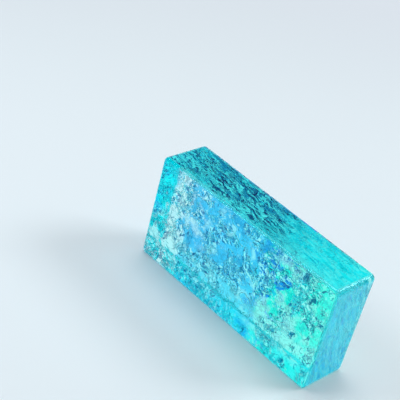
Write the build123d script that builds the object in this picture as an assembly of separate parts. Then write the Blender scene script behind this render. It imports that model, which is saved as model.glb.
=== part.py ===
from build123d import *
from math import cos, pi, radians, sin
import os

# A solid block of clear cast glass, laid in a wall like a brick. It stands on its long bed face.
# X runs along its length, Y through its thickness from the front face to the back face, Z is up.
# The origin is in the middle of the lower bed face.

# Outer sizes
block_length = 200.0
block_height = 100.0
block_thickness = 48.0

# Edges. The corners are the four edges that run through the thickness. The arrises go round the
# two big faces. The front face lay on the mould. The back face was the open one, where the glass
# was poured, so its arris is softer.
corner_radius = 5.0
front_arris_radius = 2.6
back_arris_radius = 4.5

# Ripples of the two big faces. They are hollows that sink into the glass. Between the hollows, and
# on a margin beside each arris, the face stays flat. The front face is calm. The back face wrinkled
# as it cooled, with hollows 20 to 50 mm apart.
front_ripple_depth = 0.6
back_ripple_depth = 1.5
ripple_margin = 1.0
ripple_fade = 9.0
ripple_point_pitch = 6.0

# The flat face cuts off the crests of the waves: they would stand proud by this share of the depth
crest_share = 0.2

# Each ripple train: wavelength, heading in degrees from the length, share of the depth, phase
front_trains = [
    (62.0, 24.0, 0.34, 0.6),
    (44.0, 118.0, 0.26, 2.1),
    (35.0, 71.0, 0.22, 4.0),
    (29.0, 157.0, 0.18, 1.2),
]
back_trains = [
    (49.0, 152.0, 0.30, 3.3),
    (34.0, 63.0, 0.26, 0.9),
    (26.0, 12.0, 0.23, 5.2),
    (21.0, 104.0, 0.21, 2.6),
]

# How far the cut reaches past the block on every side
cut_allowance = 4.0


def ramp(distance, start, reach):
    """Rise smoothly from 0 at start to 1 at start + reach."""
    share = min(max((distance - start) / reach, 0.0), 1.0)
    return share * share * (3.0 - 2.0 * share)


def ripple_drop(x, z, trains, depth, arris_radius):
    """How far the waves lie below the flat face at x, z, measured from its middle."""
    margin = arris_radius + ripple_margin
    fade = ramp(block_length / 2 - abs(x), margin, ripple_fade)
    fade *= ramp(block_height / 2 - abs(z), margin, ripple_fade)
    wave = 0.0
    for wavelength, heading, share, phase in trains:
        along = x * cos(radians(heading)) + z * sin(radians(heading))
        wave += share * sin(2 * pi * along / wavelength + phase)
    return depth * (fade * (1.0 + crest_share) * (1.0 + wave) / 2 - crest_share)


def evenly_spaced(reach):
    """Positions from -reach to reach, about one ripple_point_pitch apart."""
    steps = round(2 * reach / ripple_point_pitch)
    return [-reach + 2 * reach * i / steps for i in range(steps + 1)]


def ripple_cutter(side, trains, depth, arris_radius):
    """What lies outside the waves of one big face: side -1 is the front, 1 is the back."""
    points = []
    for x in evenly_spaced(block_length / 2 + cut_allowance):
        column = []
        for z in evenly_spaced(block_height / 2 + cut_allowance):
            drop = ripple_drop(x, z, trains, depth, arris_radius)
            column.append(Vector(x, side * (block_thickness / 2 - drop), z + block_height / 2))
        points.append(column)
    waves = Face.make_surface_from_array_of_points(points)
    return extrude(waves, amount=depth + cut_allowance, dir=(0, side, 0))


def make_glass_block():
    outline = Plane.XZ * RectangleRounded(block_length, block_height, corner_radius)
    block = Pos(0, 0, block_height / 2) * extrude(outline, amount=block_thickness / 2, both=True)

    # The arrises roll over into the bed and end faces
    front_face = block.faces().sort_by(Axis.Y)[0]
    block = fillet(front_face.edges(), front_arris_radius)
    back_face = block.faces().sort_by(Axis.Y)[-1]
    block = fillet(back_face.edges(), back_arris_radius)

    # The ripples hollow out both big faces
    block -= ripple_cutter(-1, front_trains, front_ripple_depth, front_arris_radius)
    block -= ripple_cutter(1, back_trains, back_ripple_depth, back_arris_radius)
    return block


os.makedirs("parts", exist_ok=True)
export_step(make_glass_block(), "parts/glass_block.step")
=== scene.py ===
# %% [markdown]
# # A block of cast glass
# The object is one casting of clear aqua glass, laid in a wall like a brick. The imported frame
# gives its size. Its shape is made again here on a fine grid, because light that bends through
# glass shows every facet. Then comes what the plain solid lacks: the crinkled skin, the tints, and
# light that has something to bend. Such a block is measured in millimetres, so its lengths are
# written in millimetres, and MM turns them into metres.

# %% Load the frame
from math import cos, exp, pi, radians, sin
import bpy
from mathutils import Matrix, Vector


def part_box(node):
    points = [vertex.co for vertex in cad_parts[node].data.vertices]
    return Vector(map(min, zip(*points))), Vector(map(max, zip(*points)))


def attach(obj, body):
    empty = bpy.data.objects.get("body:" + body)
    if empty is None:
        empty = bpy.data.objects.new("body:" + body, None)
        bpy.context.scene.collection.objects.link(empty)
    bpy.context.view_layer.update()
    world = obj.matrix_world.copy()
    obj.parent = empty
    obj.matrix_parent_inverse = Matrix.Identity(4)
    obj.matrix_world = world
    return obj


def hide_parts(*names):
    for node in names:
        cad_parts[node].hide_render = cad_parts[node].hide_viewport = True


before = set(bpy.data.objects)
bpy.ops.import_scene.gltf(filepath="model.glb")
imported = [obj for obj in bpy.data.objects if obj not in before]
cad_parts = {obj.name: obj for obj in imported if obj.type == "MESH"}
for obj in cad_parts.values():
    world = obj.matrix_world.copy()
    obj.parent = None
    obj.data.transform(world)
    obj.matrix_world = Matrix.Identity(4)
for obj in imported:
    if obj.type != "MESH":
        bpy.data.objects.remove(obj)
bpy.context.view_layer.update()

from types import SimpleNamespace

import bpy
from mathutils import Quaternion, Vector

MM = 0.001
block_low, block_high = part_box("glass_block")
block_length, block_thickness, block_height = block_high - block_low
half_length_mm = block_length / MM / 2
half_thickness_mm = block_thickness / MM / 2
half_height_mm = block_height / MM / 2
print("block, mm:", [round(side / MM, 1) for side in block_high - block_low])

# %% [markdown]
# ## Camera
# The block is seen with a long lens from above its front right corner, and the camera is turned
# about its own line of sight, so that the block's long edges fall to the right. A matrix of
# numbers would place it too, but nobody can read one. So the camera is described as a
# photographer would: how far round, how high, how far away, and how far turned.

# %% Camera
camera_azimuth = radians(38.86)
camera_elevation = radians(32.90)
camera_turn = radians(15.19)
camera_distance = 954.3 * MM
camera_aim = Vector((-55.5, -18.3, 81.7)) * MM
focal_length_mm = 104.3

towards_camera = Vector((
    sin(camera_azimuth) * cos(camera_elevation),
    -cos(camera_azimuth) * cos(camera_elevation),
    sin(camera_elevation),
))
camera = bpy.data.objects.new("camera", bpy.data.cameras.new("camera"))
bpy.context.scene.collection.objects.link(camera)
camera.data.lens = focal_length_mm
camera.location = camera_aim + towards_camera * camera_distance
camera.rotation_mode = "QUATERNION"
level_view = (-towards_camera).to_track_quat("-Z", "Y")
camera.rotation_quaternion = level_view @ Quaternion((0, 0, 1), camera_turn)
bpy.context.scene.camera = camera
print("camera stands", [round(place, 3) for place in camera.location], "m")

# %% [markdown]
# ## Helpers for node trees
# A node tree is a sum written with boxes and wires. Placed by hand, a tree like the ones below
# would fill a wall. These helpers write it as a sum again: each makes one node, wires its inputs
# to sockets or sets them to plain numbers, and returns the output. The same maths nodes work in
# a Geometry Nodes tree and in a material.


# %% Numbers
def feed(tree, socket, value):
    """Wires socket to another socket, or sets it to a plain value."""
    if isinstance(value, bpy.types.NodeSocket):
        tree.links.new(value, socket)
    else:
        socket.default_value = value


def maths(tree, operation, *values):
    node = tree.nodes.new("ShaderNodeMath")
    node.operation = operation
    for socket, value in zip(node.inputs, values):
        feed(tree, socket, value)
    return node.outputs[0]


def chained(operation):
    """A helper that joins two or more values with one operation, from left to right."""
    def join(tree, result, *others):
        for other in others:
            result = maths(tree, operation, result, other)
        return result
    return join


plus = chained("ADD")
minus = chained("SUBTRACT")
times = chained("MULTIPLY")
highest = chained("MAXIMUM")


def unsigned(tree, value):
    return maths(tree, "ABSOLUTE", value)


def over(tree, value, limit):
    """1 where value is over limit, 0 elsewhere."""
    return maths(tree, "GREATER_THAN", value, limit)


def ramp(tree, value, low, high, start=0.0, end=1.0):
    """Goes smoothly from start to end as value goes from low to high. low may be the larger."""
    node = tree.nodes.new("ShaderNodeMapRange")
    node.interpolation_type = "SMOOTHSTEP"
    numbers = {"Value": value, "From Min": low, "From Max": high, "To Min": start, "To Max": end}
    for name, number in numbers.items():
        feed(tree, node.inputs[name], number)
    return node.outputs["Result"]


def mix_numbers(tree, share, first, second):
    node = tree.nodes.new("ShaderNodeMix")
    share_socket, _, first_socket, second_socket = node.inputs[:4]
    feed(tree, share_socket, share)
    feed(tree, first_socket, first)
    feed(tree, second_socket, second)
    return node.outputs[0]


# %% Vectors and noise
def vector_maths(tree, operation, *values):
    node = tree.nodes.new("ShaderNodeVectorMath")
    node.operation = operation
    for socket, value in zip(node.inputs, values):
        feed(tree, socket, value)
    return node.outputs["Value" if operation in ("LENGTH", "DOT_PRODUCT") else "Vector"]


def shifted(tree, place, offset):
    return vector_maths(tree, "ADD", place, offset)


def scaled(tree, vector, number):
    return vector_maths(tree, "MULTIPLY", vector, (number,) * 3)


def combine(tree, x, y, z):
    node = tree.nodes.new("ShaderNodeCombineXYZ")
    for socket, value in zip(node.inputs, (x, y, z)):
        feed(tree, socket, value)
    return node.outputs[0]


def separate(tree, vector):
    node = tree.nodes.new("ShaderNodeSeparateXYZ")
    feed(tree, node.inputs[0], vector)
    return node.outputs


noise_middle = 0.5


def noise(tree, place, size, detail=0.0, roughness=0.5, colour=False):
    """Smooth noise about noise_middle. Its features are about size across, in the units of place."""
    node = tree.nodes.new("ShaderNodeTexNoise")
    feed(tree, node.inputs["Vector"], scaled(tree, place, 1 / size))
    node.inputs["Scale"].default_value = 1.0
    node.inputs["Detail"].default_value = detail
    node.inputs["Roughness"].default_value = roughness
    return node.outputs[1 if colour else 0]


# %% [markdown]
# ## The block's shape
# The casting is a brick with rolled edges, so its shape follows a rule, and Geometry Nodes can
# hold the rule. A subdivided cube with bevels would give the edges too, but its points would be
# sparse just where glass bends light most. So a fine box grid is the start, crowded towards the
# edges. Three moves turn it into the block: the four corners along the thickness are rounded,
# the arrises are rolled, and the two big faces sink along their broad ripples. The frame gives
# only the solid's box, so the solid's radii and ripples are written down again.

# %% Sizes of the casting
corner_radius = 5.0 * MM
front_arris_radius = 2.6 * MM
back_arris_radius = 4.5 * MM
ripple_margin = 1.0 * MM
ripple_fade = 9.0 * MM
front_ripple_depth = 0.6 * MM
back_ripple_depth = 1.5 * MM
crest_share = 0.2

# Each ripple train: wavelength in mm, heading from the length in degrees, share, phase
front_trains = [
    (62.0, 24.0, 0.34, 0.6), (44.0, 118.0, 0.26, 2.1),
    (35.0, 71.0, 0.22, 4.0), (29.0, 157.0, 0.18, 1.2),
]
back_trains = [
    (49.0, 152.0, 0.30, 3.3), (34.0, 63.0, 0.26, 0.9),
    (26.0, 12.0, 0.23, 5.2), (21.0, 104.0, 0.21, 2.6),
]
print("arrises, mm:", front_arris_radius / MM, "in front,", back_arris_radius / MM, "at the back")
print("ripples:", len(front_trains), "trains in front,", len(back_trains), "at the back")

# %% Rounded corners
grid_crowding = 0.18


def crowded(tree, place, half):
    """Moves grid lines towards the ends of a side, and keeps the ends."""
    share = maths(tree, "DIVIDE", place, half)
    cube = times(tree, maths(tree, "POWER", unsigned(tree, share), 3.0), maths(tree, "SIGN", share))
    eased = minus(tree, times(tree, share, 1 + grid_crowding), times(tree, cube, grid_crowding))
    return times(tree, eased, half)


def past(tree, place, limit):
    """How far place lies beyond limit, on either side of the middle, with its sign."""
    beyond = highest(tree, minus(tree, unsigned(tree, place), limit), 0.0)
    return times(tree, beyond, maths(tree, "SIGN", place))


def round_corners(tree, x, z, half_x, half_z, corner):
    """The square of glass beyond each corner's centre becomes a quarter disc."""
    beyond_x = past(tree, x, minus(tree, half_x, corner))
    beyond_z = past(tree, z, minus(tree, half_z, corner))
    reach = highest(tree, unsigned(tree, beyond_x), unsigned(tree, beyond_z))
    outwards = vector_maths(tree, "NORMALIZE", combine(tree, beyond_x, 0.0, beyond_z))
    out_x, _, out_z = separate(tree, outwards)
    round_x = plus(tree, minus(tree, x, beyond_x), times(tree, out_x, reach))
    round_z = plus(tree, minus(tree, z, beyond_z), times(tree, out_z, reach))
    return round_x, round_z, out_x, out_z, minus(tree, corner, reach)


# %% Rolled arrises
least_span = 1e-6
least_roll = 1e-7


def roll_arris(tree, edge_distance, face_distance, radius):
    """Within a radius of the edge, the square section becomes a quarter circle.

    Gives how far a point moves in from the edge, and how far down from the face.
    """
    short_in = highest(tree, minus(tree, radius, edge_distance), 0.0)
    short_deep = highest(tree, minus(tree, radius, face_distance), 0.0)
    span = vector_maths(tree, "LENGTH", combine(tree, short_in, short_deep, 0.0))
    stretch = maths(tree, "DIVIDE", radius, highest(tree, span, least_span))
    rolled = over(tree, maths(tree, "MINIMUM", short_in, short_deep), least_roll)
    pull = minus(tree, 1.0, mix_numbers(tree, rolled, 1.0, stretch))
    return times(tree, short_in, rolled, pull), times(tree, short_deep, rolled, pull)


# %% Ripples of the big faces
def ripple_sum(tree, x, z, trains):
    waves = []
    for wavelength, heading, share, phase in trains:
        turns = 2 * pi / (wavelength * MM)
        along = plus(tree, times(tree, x, cos(radians(heading)) * turns),
                     times(tree, z, sin(radians(heading)) * turns))
        waves.append(times(tree, maths(tree, "SINE", plus(tree, along, phase)), share))
    return plus(tree, *waves)


def ripple_drop(tree, x, z, half_x, half_z, radius, at_back, depth):
    """How far the waves lie below the flat face. They fade out towards its margin."""
    margin = plus(tree, radius, ripple_margin)
    far_margin = plus(tree, margin, ripple_fade)
    fade_x = ramp(tree, minus(tree, half_x, unsigned(tree, x)), margin, far_margin)
    fade_z = ramp(tree, minus(tree, half_z, unsigned(tree, z)), margin, far_margin)
    wave = mix_numbers(tree, at_back, ripple_sum(tree, x, z, front_trains),
                       ripple_sum(tree, x, z, back_trains))
    sway = times(tree, plus(tree, wave, 1.0), (1.0 + crest_share) / 2)
    drop = minus(tree, times(tree, sway, times(tree, fade_x, fade_z)), crest_share)
    return times(tree, highest(tree, drop, 0.0), depth)


# %% The three moves together
face_tolerance = 1e-5


def casting_shape(tree, inputs, grid_place):
    """The place of each grid point on the casting, with the block's middle at 0, 0, 0."""
    half_x, half_y, half_z = [maths(tree, "DIVIDE", inputs[name], 2.0)
                              for name in ("Length", "Thickness", "Height")]
    x, y, z = separate(tree, grid_place)
    side = maths(tree, "SIGN", y)
    at_back = over(tree, y, 0.0)
    x, z, out_x, out_z, edge_distance = round_corners(
        tree, crowded(tree, x, half_x), crowded(tree, z, half_z), half_x, half_z,
        inputs["Corner Radius"])

    radius = mix_numbers(tree, at_back, inputs["Front Arris"], inputs["Back Arris"])
    face_distance = minus(tree, half_y, unsigned(tree, y))
    move_in, move_deep = roll_arris(tree, edge_distance, face_distance, radius)
    x = minus(tree, x, times(tree, out_x, move_in))
    z = minus(tree, z, times(tree, out_z, move_in))
    y = minus(tree, y, times(tree, move_deep, side))

    depth = mix_numbers(tree, at_back, inputs["Front Ripple Depth"], inputs["Back Ripple Depth"])
    on_face = maths(tree, "LESS_THAN", face_distance, face_tolerance)
    drop = ripple_drop(tree, x, z, half_x, half_z, radius, at_back, times(tree, depth, on_face))
    return combine(tree, x, minus(tree, y, times(tree, drop, side)), z)


# %% [markdown]
# ## The crinkled skin
# The back face was the open one, and it wrinkled as it cooled: clusters of small sharp creases,
# with calm pools of glass between them. It shows through the front face, which is calm because
# it lay on the mould. The upper bed and the right end have fine slanted streaks. The lower bed
# and the left end are almost flat, and mirror the back face. Drawing each crease by hand would
# take days. Instead, the creases follow the level lines of a smooth noise, which are long,
# closed and wriggly, and a second, broader noise decides where they crowd. All marks of a face
# follow one swirl, which bends them together.
#
# A noise has no seed. Instead, each mark reads its own stretch of it, a fixed offset away.

# %% Kinds of marks
crease_fray = 0.62
offsets = {
    "crowd": (9.0, 40.0, 3.0), "broken": (70.0, 11.0, 5.0), "short lines": (31.0, 7.0, 53.0),
    "emboss": (5.0, 3.0, 8.0), "tone": (21.0, 5.0, 77.0), "flecks": (40.0, 17.0, 60.0),
    "spots": (3.0, 60.0, 9.0),
}


def own_stretch(tree, place, mark):
    return shifted(tree, place, offsets[mark])


def creases(tree, place, size, width, detail):
    """1 along the level lines of a noise, falling to 0 at width to each side. Detail frays them."""
    off_level = minus(tree, noise(tree, place, size, detail, crease_fray), noise_middle)
    return ramp(tree, unsigned(tree, off_level), 0.0, width, 1.0, 0.0)


def pits(tree, place, spacing, radius):
    """1 in the middle of scattered round pits, 0 between them."""
    cells = tree.nodes.new("ShaderNodeTexVoronoi")
    feed(tree, cells.inputs["Vector"], scaled(tree, place, 1 / spacing))
    cells.inputs["Scale"].default_value = 1.0
    return ramp(tree, cells.outputs["Distance"], 0.0, radius / spacing, 1.0, 0.0)


def patches(tree, place, size, low, high):
    """1 in irregular patches about size across, 0 between them."""
    return ramp(tree, noise(tree, place, size, detail=1.0), low, high)


def swirled(tree, place, source, size, detail, reach):
    """Moves place by a noise read at source, by up to half of reach along each axis."""
    colours = noise(tree, source, size, detail, colour=True)
    swirl = vector_maths(tree, "SUBTRACT", colours, (noise_middle,) * 3)
    return vector_maths(tree, "ADD", place, scaled(tree, swirl, reach))


def weighted(tree, marks, shares):
    return plus(tree, *[times(tree, marks[name], share) for name, share in shares.items()])


print("stretches of noise:", ", ".join(offsets))

# %% Creases of the big faces
face_layer = 24.0
face_swirl = {"size": 15.0, "detail": 2.0, "reach": 17.0}
face_depths = {"pools": 0.45, "lines": 0.45, "short lines": 0.45, "crumple": 0.60}


def face_flow(tree, place):
    """The swirled place that a big face's marks follow, and where they crowd, from 0 to 1.

    place is in mm from the block's middle. Each face reads one flat layer of the noise.
    """
    x, y, z = separate(tree, place)
    flat = combine(tree, x, times(tree, maths(tree, "SIGN", y), face_layer), z)
    bent = swirled(tree, flat, flat, **face_swirl)
    return bent, patches(tree, own_stretch(tree, flat, "crowd"), size=20.0, low=0.44, high=0.56)


def face_marks(tree, flow):
    """The relief of a big face, each mark from 0 to 1."""
    bent, crowd = flow
    long = creases(tree, bent, size=18.0, width=0.032, detail=1.5)
    broken = patches(tree, own_stretch(tree, bent, "broken"), size=8.0, low=0.42, high=0.50)
    short = creases(tree, own_stretch(tree, bent, "short lines"), size=9.0, width=0.045, detail=2.0)
    return {
        "pools": noise(tree, bent, size=15.0, detail=1.0),
        "lines": times(tree, long, broken),
        "short lines": times(tree, short, crowd),
        "crumple": times(tree, noise(tree, bent, size=3.6, detail=2.0), crowd),
    }


print("relief of the big faces:", face_depths)

# %% Streaks of the bed and end faces
bed_streaks = {"stretch": (8.0, 1.0, 1.0), "dash_stretch": (3.0, 1.0, 1.0), "slant": (0.14, 0.0, 0.0)}
end_streaks = {"stretch": (1.0, 1.0, 6.0), "dash_stretch": (1.0, 1.0, 2.0), "slant": (0.0, 0.0, 0.35)}
streak_swirl = {"size": 9.0, "detail": 1.0, "reach": 7.0}
streak_depths = {"broad": 0.24, "fine": 0.11, "dashes": 0.10}


def streak_flow(tree, place, stretch, dash_stretch, slant):
    """A side's place drawn out into streaks, the same swirled into dashes, and where they crowd."""
    x, y, z = separate(tree, place)
    place = combine(tree, x, plus(tree, y, vector_maths(tree, "DOT_PRODUCT", place, slant)), z)
    drawn_out = vector_maths(tree, "DIVIDE", place, stretch)
    bent = swirled(tree, vector_maths(tree, "DIVIDE", place, dash_stretch), place, **streak_swirl)
    return drawn_out, bent, patches(tree, place, size=24.0, low=0.42, high=0.54)


def streak_marks(tree, flow):
    """The relief of a bed or end face, each mark from 0 to 1."""
    drawn_out, bent, crowd = flow
    return {
        "broad": noise(tree, drawn_out, size=7.0, detail=1.0),
        "fine": noise(tree, drawn_out, size=2.6, detail=1.0),
        "dashes": times(tree, pits(tree, bent, spacing=2.6, radius=1.5), crowd),
    }


print("relief of the bed and end faces:", streak_depths)

# %% Where the relief is strong
front_crinkle = 0.08
front_margin_crinkle = 0.12
flat_side_relief = 0.06

# In mm: the margins from the block's middle, and how deep an end or bed face reaches inwards
left_margin = (-64.0, -86.0)
lower_margin = (-14.0, -32.0)
side_skin_depth = 2.5


def face_strength(tree, place):
    """The back face is crinkled all over. The front face is calm, a little less so on two margins."""
    x, y, z = separate(tree, place)
    margin = highest(tree, ramp(tree, x, *left_margin), ramp(tree, z, *lower_margin))
    front = mix_numbers(tree, margin, front_crinkle, front_margin_crinkle)
    return mix_numbers(tree, over(tree, y, 0.0), front, 1.0)


def side_strength(tree, place):
    """The upper bed and the right end are streaked; the lower bed and the left end are almost flat."""
    x, _, z = separate(tree, place)
    on_left_end = maths(tree, "LESS_THAN", x, side_skin_depth - half_length_mm)
    on_lower_bed = maths(tree, "LESS_THAN", z, side_skin_depth - half_height_mm)
    return mix_numbers(tree, highest(tree, on_left_end, on_lower_bed), 1.0, flat_side_relief)


print("front face's share of the crinkle:", front_crinkle, "to", front_margin_crinkle)

# %% [markdown]
# ## One tree for the casting
# The tree now only has to join the steps: grid, rounding and ripples, and then the skin sinks
# along the surface's own normal. A displacement in the material would look alike in one render,
# but the exported mesh would be smooth. So the relief that the grid can hold is real, and only
# what is finer is left to bump. The tree ends in Realize Instances and Set Material, so that it
# gives a plain mesh with its finish.

# %% The skin sinks
casting_inputs = {
    "Length": block_length, "Thickness": block_thickness, "Height": block_height,
    "Corner Radius": corner_radius, "Front Arris": front_arris_radius, "Back Arris": back_arris_radius,
    "Front Ripple Depth": front_ripple_depth, "Back Ripple Depth": back_ripple_depth,
    "Face Relief": 1.0 * MM, "Streak Relief": 1.0 * MM,
}
grid_lines = {"Vertices X": 250, "Vertices Y": 40, "Vertices Z": 126}
face_normal_span = (0.55, 0.85)
end_normal = 0.6


def skin_sink(tree, inputs, place, normal):
    """How deep the skin lies below the smooth casting, in metres."""
    place_mm = scaled(tree, place, 1 / MM)
    normal_x, normal_y, _ = separate(tree, normal)
    on_big_face = ramp(tree, unsigned(tree, normal_y), *face_normal_span)
    on_end = over(tree, unsigned(tree, normal_x), end_normal)
    face = weighted(tree, face_marks(tree, face_flow(tree, place_mm)), face_depths)
    bed = weighted(tree, streak_marks(tree, streak_flow(tree, place_mm, **bed_streaks)), streak_depths)
    end = weighted(tree, streak_marks(tree, streak_flow(tree, place_mm, **end_streaks)), streak_depths)
    side = times(tree, mix_numbers(tree, on_end, bed, end), inputs["Streak Relief"],
                 side_strength(tree, place_mm))
    face = times(tree, face, face_strength(tree, place_mm), inputs["Face Relief"])
    return mix_numbers(tree, on_big_face, side, face)


# %% Casting tree
def geometry_step(tree, kind, geometry):
    """Adds a node that takes the geometry as its first input."""
    node = tree.nodes.new(kind)
    feed(tree, node.inputs[0], geometry)
    return node


def make_casting_tree(material):
    tree = bpy.data.node_groups.new("casting", "GeometryNodeTree")
    for name in casting_inputs:
        tree.interface.new_socket(name, in_out="INPUT", socket_type="NodeSocketFloat")
    for name in grid_lines:
        tree.interface.new_socket(name, in_out="INPUT", socket_type="NodeSocketInt")
    tree.interface.new_socket("Geometry", in_out="OUTPUT", socket_type="NodeSocketGeometry")
    inputs = tree.nodes.new("NodeGroupInput").outputs

    grid = tree.nodes.new("GeometryNodeMeshCube")
    size = combine(tree, inputs["Length"], inputs["Thickness"], inputs["Height"])
    feed(tree, grid.inputs["Size"], size)
    for name in grid_lines:
        feed(tree, grid.inputs[name], inputs[name])

    place = tree.nodes.new("GeometryNodeInputPosition").outputs[0]
    shape = geometry_step(tree, "GeometryNodeSetPosition", grid.outputs["Mesh"])
    feed(tree, shape.inputs["Position"], casting_shape(tree, inputs, place))

    normal = tree.nodes.new("GeometryNodeInputNormal").outputs[0]
    inwards = times(tree, skin_sink(tree, inputs, place, normal), -1.0)
    skin = geometry_step(tree, "GeometryNodeSetPosition", shape.outputs[0])
    feed(tree, skin.inputs["Offset"],
         vector_maths(tree, "MULTIPLY", normal, combine(tree, inwards, inwards, inwards)))

    stand = geometry_step(tree, "GeometryNodeTransform", skin.outputs[0])
    half_height = maths(tree, "DIVIDE", inputs["Height"], 2.0)
    feed(tree, stand.inputs["Translation"], combine(tree, 0.0, 0.0, half_height))
    smooth = geometry_step(tree, "GeometryNodeSetShadeSmooth", stand.outputs[0])
    realize = geometry_step(tree, "GeometryNodeRealizeInstances", smooth.outputs[0])
    finish = geometry_step(tree, "GeometryNodeSetMaterial", realize.outputs[0])
    finish.inputs["Material"].default_value = material
    feed(tree, tree.nodes.new("NodeGroupOutput").inputs[0], finish.outputs[0])
    print("casting tree:", len(tree.nodes), "nodes")
    return tree


# %% [markdown]
# ## The glass
# Tinted glass could be made with a volume alone: an absorbing colour that deepens with the
# light's way through the block. This block has that, and it takes the red out of the light. But
# its tint also drifts, from pale and azure at the left to mint at the right, with deep and pale
# patches, and an even volume can't drift. So most of the tint is in the skin. Light crosses the
# skin on its way in and again on its way out, and both crossings together give it the tint.
#
# The drift could be painted on. Here it is a few stops on a colour ramp along the block, which
# can be read and moved, and a ragged noise pulls the borders between them into tongues.

# %% Colours of the glass
glass_ior = 1.50
absorption_tint = (0.02, 0.97, 0.985, 1.0)
absorption_density = 9.0
reflection_tint = (0.10, 0.65, 1.0, 1.0)

# Tints along the length: place in mm from the middle, colour
back_tints = [
    (-100.0, (0.03, 0.50, 0.95)), (-84.0, (0.03, 0.42, 0.88)), (-66.0, (0.01, 0.34, 0.94)),
    (-30.0, (0.01, 0.40, 0.96)), (6.0, (0.01, 0.45, 0.96)), (16.0, (0.0, 0.14, 0.75)),
    (24.0, (0.0, 0.92, 0.66)), (60.0, (0.0, 0.95, 0.68)), (100.0, (0.04, 1.0, 0.80)),
]
back_deep_tints = [
    (-100.0, (0.0, 0.16, 0.52)), (14.0, (0.0, 0.14, 0.50)),
    (28.0, (0.0, 0.42, 0.46)), (100.0, (0.0, 0.46, 0.48)),
]
# Pale tints, which also give painted light on the lit sides of wrinkles
back_pale_and_painted_light_tints = [
    (-100.0, (1.0, 1.0, 1.0)), (-72.0, (1.0, 1.0, 1.0)), (-52.0, (0.55, 0.92, 1.0)),
    (14.0, (0.50, 0.97, 1.0)), (28.0, (0.50, 1.0, 0.95)), (100.0, (0.50, 1.0, 0.95)),
]
front_tints = [
    (-100.0, (0.0, 0.92, 1.0)), (-84.0, (0.0, 0.95, 1.0)), (-78.0, (1.0, 1.0, 1.0)),
    (-66.0, (1.0, 1.0, 1.0)), (-50.0, (0.55, 0.90, 1.0)), (0.0, (0.45, 0.88, 1.0)),
    (36.0, (0.45, 0.95, 0.92)), (100.0, (0.55, 1.0, 0.92)),
]
# The upper bed: pale cyan at the left end, a band of painted shade from there to the middle, bright cyan
# at the right
bed_tints_with_painted_shade = [
    (-100.0, (0.0, 0.70, 0.90)), (-86.0, (0.0, 0.57, 0.82)), (-72.0, (0.0, 0.10, 0.25)),
    (8.0, (0.0, 0.10, 0.26)), (26.0, (0.0003, 0.88, 1.0)), (100.0, (0.0003, 0.91, 1.0)),
]
clear_skin = (1.0, 1.0, 1.0, 1.0)
front_foot_skin = (0.01, 0.92, 1.0, 1.0)
back_foot_skin = (0.12, 0.98, 1.0, 1.0)
back_blue_skin = (0.0, 0.10, 0.80, 1.0)
bed_deep_skin = (0.0, 0.14, 0.50, 1.0)
# The bed's and end's pale skins also give painted light on the lit sides of streaks
bed_pale_skin = (0.09, 1.0, 1.0, 1.0)
end_skin = (0.13, 0.80, 1.0, 1.0)
end_foot_skin = (0.0, 0.64, 1.0, 1.0)
end_deep_skin = (0.0, 0.36, 1.0, 1.0)
end_pale_skin = (0.90, 1.0, 1.0, 1.0)

# Painted shade in a dark mark keeps this share of the tint. Red goes first, as in a longer way through
# the glass.
mark_share = (0.0, 0.03, 0.12, 1.0)

light_left = [exp(-absorption_density * (1 - share) * block_thickness) for share in absorption_tint[:3]]
print("light left after the block's thickness:", [round(share, 2) for share in light_left])


# %% Mixing colours
def mix_colours(tree, share, first, second):
    """The Mix node has sockets for each kind of value. Those for colours are numbers 6 and 7."""
    node = tree.nodes.new("ShaderNodeMix")
    node.data_type = "RGBA"
    feed(tree, node.inputs[0], share)
    feed(tree, node.inputs[6], first)
    feed(tree, node.inputs[7], second)
    return node.outputs[2]


def shade_ramp(tree, value, stops):
    """The colour at value on a ramp. Each stop is a position from 0 to 1 and a colour."""
    shade = tree.nodes.new("ShaderNodeValToRGB")
    feed(tree, shade.inputs[0], value)
    elements = shade.color_ramp.elements
    while len(elements) < len(stops):
        elements.new(1.0)
    for element, (position, colour) in zip(elements, stops):
        element.position = position
        element.color = (*colour, 1.0)
    return shade.outputs[0]


def tint_along(tree, x, tints):
    """The skin's tint at x, which runs from one end of the block to the other."""
    length_mm = 2 * half_length_mm
    share = maths(tree, "DIVIDE", plus(tree, x, half_length_mm), length_mm)
    return shade_ramp(tree, share, [((place + half_length_mm) / length_mm, colour)
                                    for place, colour in tints])


# %% [markdown]
# ## Tones of the marks
# Relief alone shows faintly under soft even light. On the real skin each wrinkle has a side that
# catches the light and a side that doesn't. So these sides are painted into the tint from a noise:
# where it rises towards the light over a short step, it gets painted light, and where it falls,
# painted shade. That is how a draughtsman embosses a line, and it stays in place when the camera
# moves.

# %% Lit and shaded sides
emboss_detail = 3.0
emboss_fray = 0.6
crowded_share = 1.1

# open_share is how strong the painted light and shade are where the wrinkles don't crowd
face_emboss = {"size": 5.0, "step": (1.0, 0.0, 0.6), "open_share": 0.35, "span": (0.034, 0.052)}
streak_emboss = {"size": 4.2, "step": (0.5, 0.8, 0.5), "open_share": 0.45, "span": (0.034, 0.060)}


def embossed(tree, place, crowd, size, step, open_share, span):
    """Painted light on the lit sides of wrinkles and painted shade on the shaded ones, each from 0 to 1.
    """
    place = own_stretch(tree, place, "emboss")
    here = noise(tree, place, size, emboss_detail, emboss_fray)
    there = noise(tree, shifted(tree, place, step), size, emboss_detail, emboss_fray)
    slope = times(tree, minus(tree, there, here), mix_numbers(tree, crowd, open_share, crowded_share))
    low, high = span
    return {"lit": ramp(tree, slope, low, high), "shaded": ramp(tree, slope, -low, -high)}


def face_tones(tree, flow):
    """Tones of a big face's skin, each from 0 to 1."""
    bent, crowd = flow
    return {
        **embossed(tree, bent, crowd, **face_emboss),
        "tone": noise(tree, own_stretch(tree, bent, "tone"), size=13.0, detail=3.0),
        "flecks": pits(tree, own_stretch(tree, bent, "flecks"), spacing=9.0, radius=1.7),
        "spots": noise(tree, own_stretch(tree, bent, "spots"), size=9.0, detail=1.0),
    }


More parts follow.
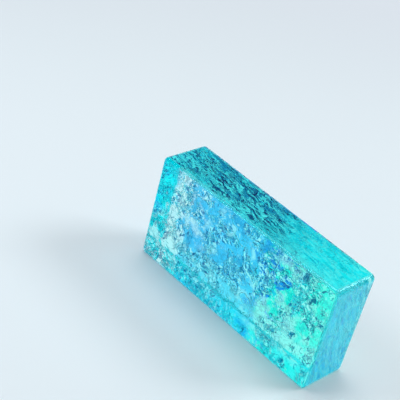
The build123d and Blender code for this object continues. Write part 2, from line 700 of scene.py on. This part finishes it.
def streak_tones(tree, flow):
    """Tones of a bed or end face, each from 0 to 1."""
    drawn_out, bent, crowd = flow
    return {
        **embossed(tree, bent, crowd, **streak_emboss),
        "tone": noise(tree, bent, size=4.0, detail=3.0),
        "threads": noise(tree, drawn_out, size=2.8, detail=1.5),
        "flecks": pits(tree, own_stretch(tree, bent, "flecks"), spacing=4.5, radius=0.9),
    }


# %% [markdown]
# ## Where each tint lies
# The tints change over zones of the block, and the tones come in at levels of their noise. Both
# are written as spans for the smooth ramp: where the change begins, where it is full and, if
# they aren't 0 and 1, the shares at its two ends. A painted mask would do the same by hand. With
# spans, each border is one line that can be read and moved.

# %% Zones and levels
tongue_size = 16.0
tongue_detail = 3.0
tongue_reach = {"along": 55.0, "up": 34.0, "across a side": 30.0}

# The finish of a big face reaches round its arris, and blends out over this span of depth in mm
face_blend = (0.0, 0.4)

# Zones, in mm from the block's middle
zones = {
    "front foot tint": (-20.0, -40.0),
    "front foot marks": (-20.0, -38.0),
    "left of the foot, paleness": (-40.0, -76.0, 0.6, 0.9),
    "left of the foot, darkness": (-40.0, -76.0, 0.35, 0.7),
    "left of the foot, white patches": (-62.0, -80.0),
    "back foot": (-24.0, -44.0, 0.0, 0.4),
    "right part": (5.0, 25.0),
    "low on the right": (-16.0, -32.0, 0.0, 0.12),
    "left column": (-70.0, -84.0),
    "height of the left column": (34.0, 14.0, 0.4, 1.0),
    "far left": (-74.0, -84.0),
    "low on the left": (-16.0, -30.0),
    "blue band begins": (4.0, 16.0),
    "blue band ends": (66.0, 40.0),
    "pale strip": (-68.0, -80.0),
    "height of the pale strip": (6.0, -12.0),
    "bed near the front": (-6.0, -20.0, 0.0, 0.6),
    "bed past its painted shade": (8.0, 36.0),
    "end foot": (4.0, -30.0),
    # The next two zones bound a painted highlight: a clear rim on the rounded corners of the right end
    "right corner": (95.6, 96.6, 0.0, 0.9),
    "height of the painted corner highlight": (45.6, 46.6),
}

# Levels of the marks and their noises
levels = {
    "deep patches": (0.48, 0.38, 0.0, 0.8),
    "pale patches": (0.54, 0.66, 0.0, 0.65),
    "blue spots": (0.53, 0.59),
    "pale strip": (0.47, 0.57, 0.0, 0.6),
    "white patches": (0.49, 0.55),
    "dark lines": (0.3, 0.8),
    "calm patches": (0.58, 0.70, 1.0, 0.5),
    "deep streaks": (0.46, 0.34),
    "pale streaks": (0.52, 0.66),
    "side flecks": (0.2, 0.6),
    "pale threads": (0.54, 0.64, 0.0, 0.5),
    "dark threads": (0.46, 0.36),
    "bed dashes": (0.2, 0.6, 0.0, 0.9),
    "end dashes": (0.3, 0.9, 0.0, 0.35),
}


def zone(tree, place, name):
    """How far a place lies in a named zone, between the zone's two shares."""
    return ramp(tree, place, *zones[name])


def level(tree, value, name):
    """How far a mark or noise has reached a named level, between the level's two shares."""
    return ramp(tree, value, *levels[name])


print("tints:", len(zones), "zones and", len(levels), "levels")


# %% A point of the skin
def read_skin(tree):
    """Where a point of the skin lies, in mm from the block's middle, and the marks on it."""
    place = scaled(tree, tree.nodes.new("ShaderNodeTexCoord").outputs["Object"], 1 / MM)
    middle = shifted(tree, place, (0.0, 0.0, -half_height_mm))
    x, y, z = separate(tree, middle)
    at_back = over(tree, y, 0.0)
    radius = mix_numbers(tree, at_back, front_arris_radius / MM, back_arris_radius / MM)
    face_distance = minus(tree, half_thickness_mm, unsigned(tree, y))
    ragged = minus(tree, noise(tree, middle, tongue_size, tongue_detail), noise_middle)
    face = face_flow(tree, middle)
    bed = streak_flow(tree, middle, **bed_streaks)
    end = streak_flow(tree, middle, **end_streaks)
    return SimpleNamespace(
        middle=middle, x=x, y=y, z=z, at_back=at_back,
        on_face=ramp(tree, minus(tree, radius, face_distance), *face_blend),
        on_end=over(tree, unsigned(tree, x), half_length_mm - side_skin_depth),
        side_tongue=times(tree, ragged, tongue_reach["across a side"]),
        drift=plus(tree, x, times(tree, ragged, tongue_reach["along"])),
        ragged_z=plus(tree, z, times(tree, ragged, tongue_reach["up"])),
        face_marks=face_marks(tree, face), face_tones=face_tones(tree, face),
        bed_marks=streak_marks(tree, bed), bed_tones=streak_tones(tree, bed),
        end_marks=streak_marks(tree, end), end_tones=streak_tones(tree, end),
    )


def on_this_side(tree, skin, name):
    """A tone of the bed or of the end, whichever the point lies on."""
    return mix_numbers(tree, skin.on_end, skin.bed_tones[name], skin.end_tones[name])


# %% Tint of the big faces
left_column_paling = 0.075
far_left_paling = 0.10


def back_tint(tree, skin):
    """Azure to mint, with deep, blue and pale patches, and painted light on the lit sides of wrinkles.
    The tone is raised where the block pales.
    """
    tones = skin.face_tones
    right = times(tree, zone(tree, skin.x, "right part"), zone(tree, skin.z, "low on the right"))
    column = times(tree, zone(tree, skin.x, "left column"),
                   zone(tree, skin.z, "height of the left column"), left_column_paling)
    corner = times(tree, zone(tree, skin.x, "far left"), zone(tree, skin.z, "low on the left"),
                   far_left_paling)
    tone = plus(tree, tones["tone"], plus(tree, right, column, corner))
    tint = mix_colours(tree, level(tree, tone, "deep patches"), tint_along(tree, skin.drift, back_tints),
                       tint_along(tree, skin.drift, back_deep_tints))
    blue_band = times(tree, zone(tree, skin.x, "blue band begins"), zone(tree, skin.x, "blue band ends"))
    blue_spots = times(tree, level(tree, tones["spots"], "blue spots"), blue_band)
    tint = mix_colours(tree, blue_spots, tint, back_blue_skin)
    tint = mix_colours(tree, zone(tree, skin.ragged_z, "back foot"), tint, back_foot_skin)
    # Pale patches of tint, and painted light on the lit sides of wrinkles
    pale = highest(tree, tones["lit"], level(tree, tone, "pale patches"))
    return mix_colours(tree, pale, tint, tint_along(tree, skin.drift, back_pale_and_painted_light_tints))


def front_tint(tree, skin):
    """Nearly clear, with an aqua foot. White flecks gather at the left and along the foot. Along the
    foot, the lit sides of wrinkles get painted light too.
    """
    tones = skin.face_tones
    tint = mix_colours(tree, zone(tree, skin.ragged_z, "front foot tint"),
                       tint_along(tree, skin.drift, front_tints), front_foot_skin)
    strip = times(tree, zone(tree, skin.x, "pale strip"), zone(tree, skin.z, "height of the pale strip"),
                  level(tree, tones["tone"], "pale strip"))
    white_patches = times(tree, level(tree, tones["tone"], "white patches"),
                          zone(tree, skin.x, "left of the foot, white patches"))
    # Along the foot, the lit sides of wrinkles get painted light, together with white patches at the
    # left
    painted_foot_light_and_patches = times(tree, highest(tree, tones["lit"], white_patches),
                       zone(tree, skin.ragged_z, "front foot marks"),
                       zone(tree, skin.x, "left of the foot, paleness"))
    return mix_colours(tree, highest(tree, tones["flecks"], strip, painted_foot_light_and_patches), tint, clear_skin)


# %% Tint of the bed and end faces
bed_deep_share = 0.5
end_deep_share = 0.9
side_pale_share = 0.9
bright_bed_marks = 0.25
end_mark_share = 0.6


def side_mark_share(tree, skin):
    """Marks are plainest on the bed's painted shade, and fainter past it and on the end."""
    bright = zone(tree, skin.drift, "bed past its painted shade")
    bed_share = ramp(tree, bright, 0.0, 1.0, 1.0, bright_bed_marks)
    return mix_numbers(tree, skin.on_end, bed_share, end_mark_share)


def side_base_tint(tree, skin):
    """The lower bed is clear. The upper one has painted shade from the left to the middle and is bright
    at the right.
    """
    near_front = zone(tree, plus(tree, skin.y, skin.side_tongue), "bed near the front")
    upper_bed = mix_colours(tree, near_front, tint_along(tree, skin.drift, bed_tints_with_painted_shade), bed_pale_skin)
    bed = mix_colours(tree, over(tree, skin.z, 0.0), clear_skin, upper_bed)
    end_low = zone(tree, plus(tree, skin.z, skin.side_tongue), "end foot")
    return mix_colours(tree, skin.on_end, bed, mix_colours(tree, end_low, end_skin, end_foot_skin))


def side_tint(tree, skin):
    """The base tint, with deep and pale streaks, painted light on the lit sides of streaks, and a
    painted highlight along the rounded corners at the right end.
    """
    tone = on_this_side(tree, skin, "tone")
    deep_share = mix_numbers(tree, skin.on_end, times(tree, side_mark_share(tree, skin), bed_deep_share),
                             end_deep_share)
    deep_skin = mix_colours(tree, skin.on_end, bed_deep_skin, end_deep_skin)
    tint = mix_colours(tree, times(tree, level(tree, tone, "deep streaks"), deep_share),
                       side_base_tint(tree, skin), deep_skin)
    # Pale streaks and threads of tint, pale flecks, and painted light on the lit sides of streaks
    pale = highest(tree, level(tree, tone, "pale streaks"),
                   level(tree, on_this_side(tree, skin, "flecks"), "side flecks"),
                   level(tree, on_this_side(tree, skin, "threads"), "pale threads"),
                   on_this_side(tree, skin, "lit"))
    pale_skin = mix_colours(tree, skin.on_end, bed_pale_skin, end_pale_skin)
    tint = mix_colours(tree, times(tree, pale, side_pale_share), tint, pale_skin)
    # Painted highlight: the rounded corners of the right end are left clear, so they show as a pale rim
    painted_corner_highlight = times(tree, zone(tree, skin.x, "right corner"),
                      zone(tree, unsigned(tree, skin.z), "height of the painted corner highlight"))
    return mix_colours(tree, painted_corner_highlight, tint, clear_skin)


# %% Dark marks: painted shade
face_shade_share = 0.9
front_mark_share = 0.35
end_shade_share = 0.7
thread_shares = {"bed": 0.45, "end": 0.35}


def painted_face_shade(tree, skin):
    """Painted shade along the creases and on the shaded sides of a big face. The front has few, most of
    them at its foot.
    """
    lines = plus(tree, skin.face_marks["lines"], skin.face_marks["short lines"])
    dark = highest(tree, level(tree, lines, "dark lines"),
                   times(tree, skin.face_tones["shaded"], face_shade_share))
    front_share = mix_numbers(tree, zone(tree, skin.ragged_z, "front foot marks"), front_mark_share,
                              zone(tree, skin.x, "left of the foot, darkness"))
    return times(tree, dark, mix_numbers(tree, skin.at_back, front_share, 1.0))


def painted_side_shade_and_threads(tree, skin):
    """Painted shade in the dashes and on the shaded sides of the bed and end faces, with dark threads of
    tint.
    """
    dashes = mix_numbers(tree, skin.on_end, level(tree, skin.bed_marks["dashes"], "bed dashes"),
                         level(tree, skin.end_marks["dashes"], "end dashes"))
    threads = times(tree, level(tree, on_this_side(tree, skin, "threads"), "dark threads"),
                    mix_numbers(tree, skin.on_end, thread_shares["bed"], thread_shares["end"]))
    shaded = mix_numbers(tree, skin.on_end, skin.bed_tones["shaded"],
                         times(tree, skin.end_tones["shaded"], end_shade_share))
    return times(tree, highest(tree, dashes, threads, shaded), side_mark_share(tree, skin))


def skin_colour(tree, skin):
    face = mix_colours(tree, skin.at_back, front_tint(tree, skin), back_tint(tree, skin))
    tint = mix_colours(tree, skin.on_face, side_tint(tree, skin), face)
    # The dark share is painted shade along creases, in dashes and on shaded sides, and dark threads of
    # tint
    dark = mix_numbers(tree, skin.on_face, painted_side_shade_and_threads(tree, skin), painted_face_shade(tree, skin))
    calm = level(tree, times(tree, skin.face_tones["tone"], skin.at_back), "calm patches")
    left_over = mix_colours(tree, times(tree, dark, calm), clear_skin, mark_share)
    return vector_maths(tree, "MULTIPLY", tint, left_over)


# %% [markdown]
# ## The glass material
# One Principled shader bends and reflects, and a Volume Absorption fills the inside. A separate
# Glass shader would bend light as well, but the export reads only the Principled one. The
# transmission, the bending index and the absorption are the same all over, so they are plain
# values on their own sockets. The finest part of the relief is bump, and the streaked bed and
# end faces are a trace rougher than the big faces.

# %% Aqua glass
side_roughness = 0.025
bump_depth = 1.1 * MM


def skin_height(tree, skin):
    """The height of the relief, which sinks as the marks do on the casting."""
    side = mix_numbers(tree, skin.on_end, weighted(tree, skin.bed_marks, streak_depths),
                       weighted(tree, skin.end_marks, streak_depths))
    side = times(tree, side, side_strength(tree, skin.middle))
    face = times(tree, weighted(tree, skin.face_marks, face_depths), face_strength(tree, skin.middle))
    return times(tree, mix_numbers(tree, skin.on_face, side, face), -1.0)


def make_aqua_glass():
    material = bpy.data.materials.new("aqua_glass")
    material.use_nodes = True
    tree = material.node_tree
    surface = tree.nodes["Principled BSDF"]
    surface.inputs["Transmission Weight"].default_value = 1.0
    surface.inputs["IOR"].default_value = glass_ior
    surface.inputs["Specular Tint"].default_value = reflection_tint

    skin = read_skin(tree)
    feed(tree, surface.inputs["Base Color"], skin_colour(tree, skin))
    feed(tree, surface.inputs["Roughness"], mix_numbers(tree, skin.on_face, side_roughness, 0.0))
    bump = tree.nodes.new("ShaderNodeBump")
    bump.inputs["Strength"].default_value = 1.0
    bump.inputs["Distance"].default_value = bump_depth
    feed(tree, bump.inputs["Height"], skin_height(tree, skin))
    feed(tree, surface.inputs["Normal"], bump.outputs[0])

    inside = tree.nodes.new("ShaderNodeVolumeAbsorption")
    inside.inputs["Color"].default_value = absorption_tint
    inside.inputs["Density"].default_value = absorption_density
    feed(tree, tree.nodes["Material Output"].inputs["Volume"], inside.outputs[0])
    print("aqua glass:", len(tree.nodes), "nodes")
    return material


aqua_glass = make_aqua_glass()

# %% [markdown]
# ## Cast it
# The tree needs an object to work on, and an empty mesh will do. The modifier's inputs are set
# by each socket's identifier before the object is first evaluated. A live modifier would give
# the same picture, but the evaluated mesh is kept as a plain mesh, so that every tool sees the
# same points. It replaces the plain solid.


# %% Cast the block
def cast_block():
    tree = make_casting_tree(aqua_glass)
    seed = bpy.data.objects.new("seed", bpy.data.meshes.new("seed"))
    bpy.context.scene.collection.objects.link(seed)
    modifier = seed.modifiers.new("casting", "NODES")
    modifier.node_group = tree
    values = {**casting_inputs, **grid_lines}
    for item in tree.interface.items_tree:
        if item.in_out == "INPUT":
            modifier[item.identifier] = values[item.name]
    ready = seed.evaluated_get(bpy.context.evaluated_depsgraph_get())
    mesh = bpy.data.meshes.new_from_object(ready)
    seed.modifiers.remove(modifier)
    bpy.data.objects.remove(seed)
    block = bpy.data.objects.new("cast_block", mesh)
    bpy.context.scene.collection.objects.link(block)
    return block


block = cast_block()
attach(block, "root")
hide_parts("glass_block")
print("cast block:", len(block.data.vertices), "points,", len(block.data.polygons), "faces")

# %% [markdown]
# ## Floor
# The block stands on a sheet of pale paper that runs far back. The horizon would show as a line,
# so for the camera alone the paper fades into a flat backdrop colour, as a curved studio sweep
# does. Seen through the glass, the paper is a plain pale glow, a little bluer near the block. A
# brighter lamp would lighten it too, but it would burn out the pale glass.

# %% Floor
floor_half_side = 3.0
floor_colour = (0.78, 0.87, 0.92, 1.0)
floor_roughness = 0.6
backdrop_colour = (0.75, 0.80, 0.88, 1.0)
backdrop_span = (0.35, 1.1)
near_glow = (0.86, 1.0, 1.0, 1.0)
far_glow = (1.0, 1.0, 1.0, 1.0)
glow_span = (0.10, 0.34)


def glowing(tree, colour):
    shader = tree.nodes.new("ShaderNodeEmission")
    feed(tree, shader.inputs["Color"], colour)
    return shader.outputs[0]


def mix_shaders(tree, share, first, second):
    node = tree.nodes.new("ShaderNodeMixShader")
    for socket, value in zip(node.inputs, (share, first, second)):
        feed(tree, socket, value)
    return node.outputs[0]


def make_paper():
    paper = bpy.data.materials.new("studio_floor")
    paper.use_nodes = True
    tree = paper.node_tree
    surface = tree.nodes["Principled BSDF"]
    surface.inputs["Base Color"].default_value = floor_colour
    surface.inputs["Roughness"].default_value = floor_roughness
    away = vector_maths(tree, "LENGTH", tree.nodes.new("ShaderNodeTexCoord").outputs["Object"])
    rays = tree.nodes.new("ShaderNodeLightPath").outputs
    far_away = times(tree, rays["Is Camera Ray"], ramp(tree, away, *backdrop_span))
    sweep = mix_shaders(tree, far_away, surface.outputs[0], glowing(tree, backdrop_colour))
    glow = mix_colours(tree, ramp(tree, away, *glow_span), near_glow, far_glow)
    seen = mix_shaders(tree, rays["Is Transmission Ray"], sweep, glowing(tree, glow))
    feed(tree, tree.nodes["Material Output"].inputs["Surface"], seen)
    return paper


def make_floor():
    side = floor_half_side
    mesh = bpy.data.meshes.new("floor")
    mesh.from_pydata([(-side, -side, 0), (side, -side, 0), (side, side, 0), (-side, side, 0)],
                     [], [(0, 1, 2, 3)])
    mesh.materials.append(make_paper())
    floor = bpy.data.objects.new("floor", mesh)
    bpy.context.scene.collection.objects.link(floor)
    return floor


floor = make_floor()
print("floor:", 2 * floor_half_side, "m square")

# %% [markdown]
# ## Light
# Glass shows only what it bends and mirrors, so one lamp isn't enough. A large soft lamp stands
# behind and to the right. One hangs above, for the floor and its shadow, and a narrow one stands
# at the front left, for a glint along the front arris. All three are hidden from the camera and
# from rays that come through the glass, where they would show as pale blobs. The room is dim and
# even where it lights, and pale where it is seen. A studio picture wrapped round the scene could
# do all this at once, but a few named lamps and shades are plainer to read and to move.


# %% Lamps
def soft_lamp(name, place, width, height, watts):
    """A lamp of that size in metres, turned towards the block."""
    light = bpy.data.lights.new(name, "AREA")
    light.shape = "RECTANGLE"
    light.size = width
    light.size_y = height
    light.energy = watts
    lamp = bpy.data.objects.new(name, light)
    lamp.location = place
    lamp.visible_camera = False
    lamp.visible_transmission = False
    lamp.rotation_mode = "QUATERNION"
    aim = Vector((0, 0, block_height / 2)) - Vector(place)
    lamp.rotation_quaternion = aim.to_track_quat("-Z", "Y")
    bpy.context.scene.collection.objects.link(lamp)
    return lamp


lamps = [
    soft_lamp("back_light", place=(0.7, 1.1, 1.3), width=0.6, height=0.6, watts=12.0),
    soft_lamp("top_light", place=(-0.3, 0.2, 1.6), width=0.7, height=0.7, watts=9.0),
    soft_lamp("edge_light", place=(-0.64, -0.65, 0.85), width=0.7, height=0.12, watts=4.0),
]
print("lamps:", {lamp.name: lamp.data.energy for lamp in lamps}, "W")

# %% Room
room_colour = (0.95, 0.97, 1.0, 1.0)
room_strength = 0.28
pale_wall = (0.78, 0.83, 0.91)
grey_wall = (0.22, 0.25, 0.30)
dark_ceiling = (0.08, 0.11, 0.16)

# Each stop: height, from 0 at the horizon to 1 overhead, and colour
through_glass = [(0.0, (0.90, 1.0, 1.0)), (1.0, (0.92, 1.0, 1.0))]
in_reflection = [(0.0, pale_wall), (0.10, pale_wall), (0.35, grey_wall), (0.86, dark_ceiling),
                 (0.95, pale_wall)]


def make_studio_world():
    """A dim even room, with a pale backdrop for what the camera, a reflection or the glass sees."""
    world = bpy.data.worlds.new("studio")
    world.use_nodes = True
    tree = world.node_tree
    room = tree.nodes["Background"]
    room.inputs["Color"].default_value = room_colour
    room.inputs["Strength"].default_value = room_strength
    _, _, height = separate(tree, tree.nodes.new("ShaderNodeTexCoord").outputs["Generated"])
    rays = tree.nodes.new("ShaderNodeLightPath").outputs
    bent =mix_colours(tree, rays["Is Transmission Ray"], shade_ramp(tree, height, in_reflection),
                       shade_ramp(tree, height, through_glass))
    backdrop = tree.nodes.new("ShaderNodeBackground")
    feed(tree, backdrop.inputs["Color"],
         mix_colours(tree, rays["Is Camera Ray"], bent, (*pale_wall, 1.0)))
    seen = plus(tree, rays["Is Camera Ray"], rays["Is Glossy Ray"], rays["Is Transmission Ray"])
    either = mix_shaders(tree, maths(tree, "MINIMUM", seen, 1.0), room.outputs[0], backdrop.outputs[0])
    feed(tree, tree.nodes["World Output"].inputs["Surface"], either)
    return world


bpy.context.scene.world = make_studio_world()
print("room light:", room_strength)

# %% [markdown]
# ## How light is followed
# Light is mirrored inside the block many times before it finds a way out. The usual number of
# bounces would end it early, and those places would turn black, so more are allowed. Colours are
# shown as they are, with no film look over them.

# %% Bounces and colours
glass_bounces = 24
mirror_bounces = 12
cycles = bpy.context.scene.cycles
cycles.max_bounces = glass_bounces
cycles.transmission_bounces = glass_bounces
cycles.glossy_bounces = mirror_bounces
bpy.context.scene.view_settings.view_transform = "Standard"
print("bounces:", glass_bounces, "through glass,", mirror_bounces, "in mirrors")
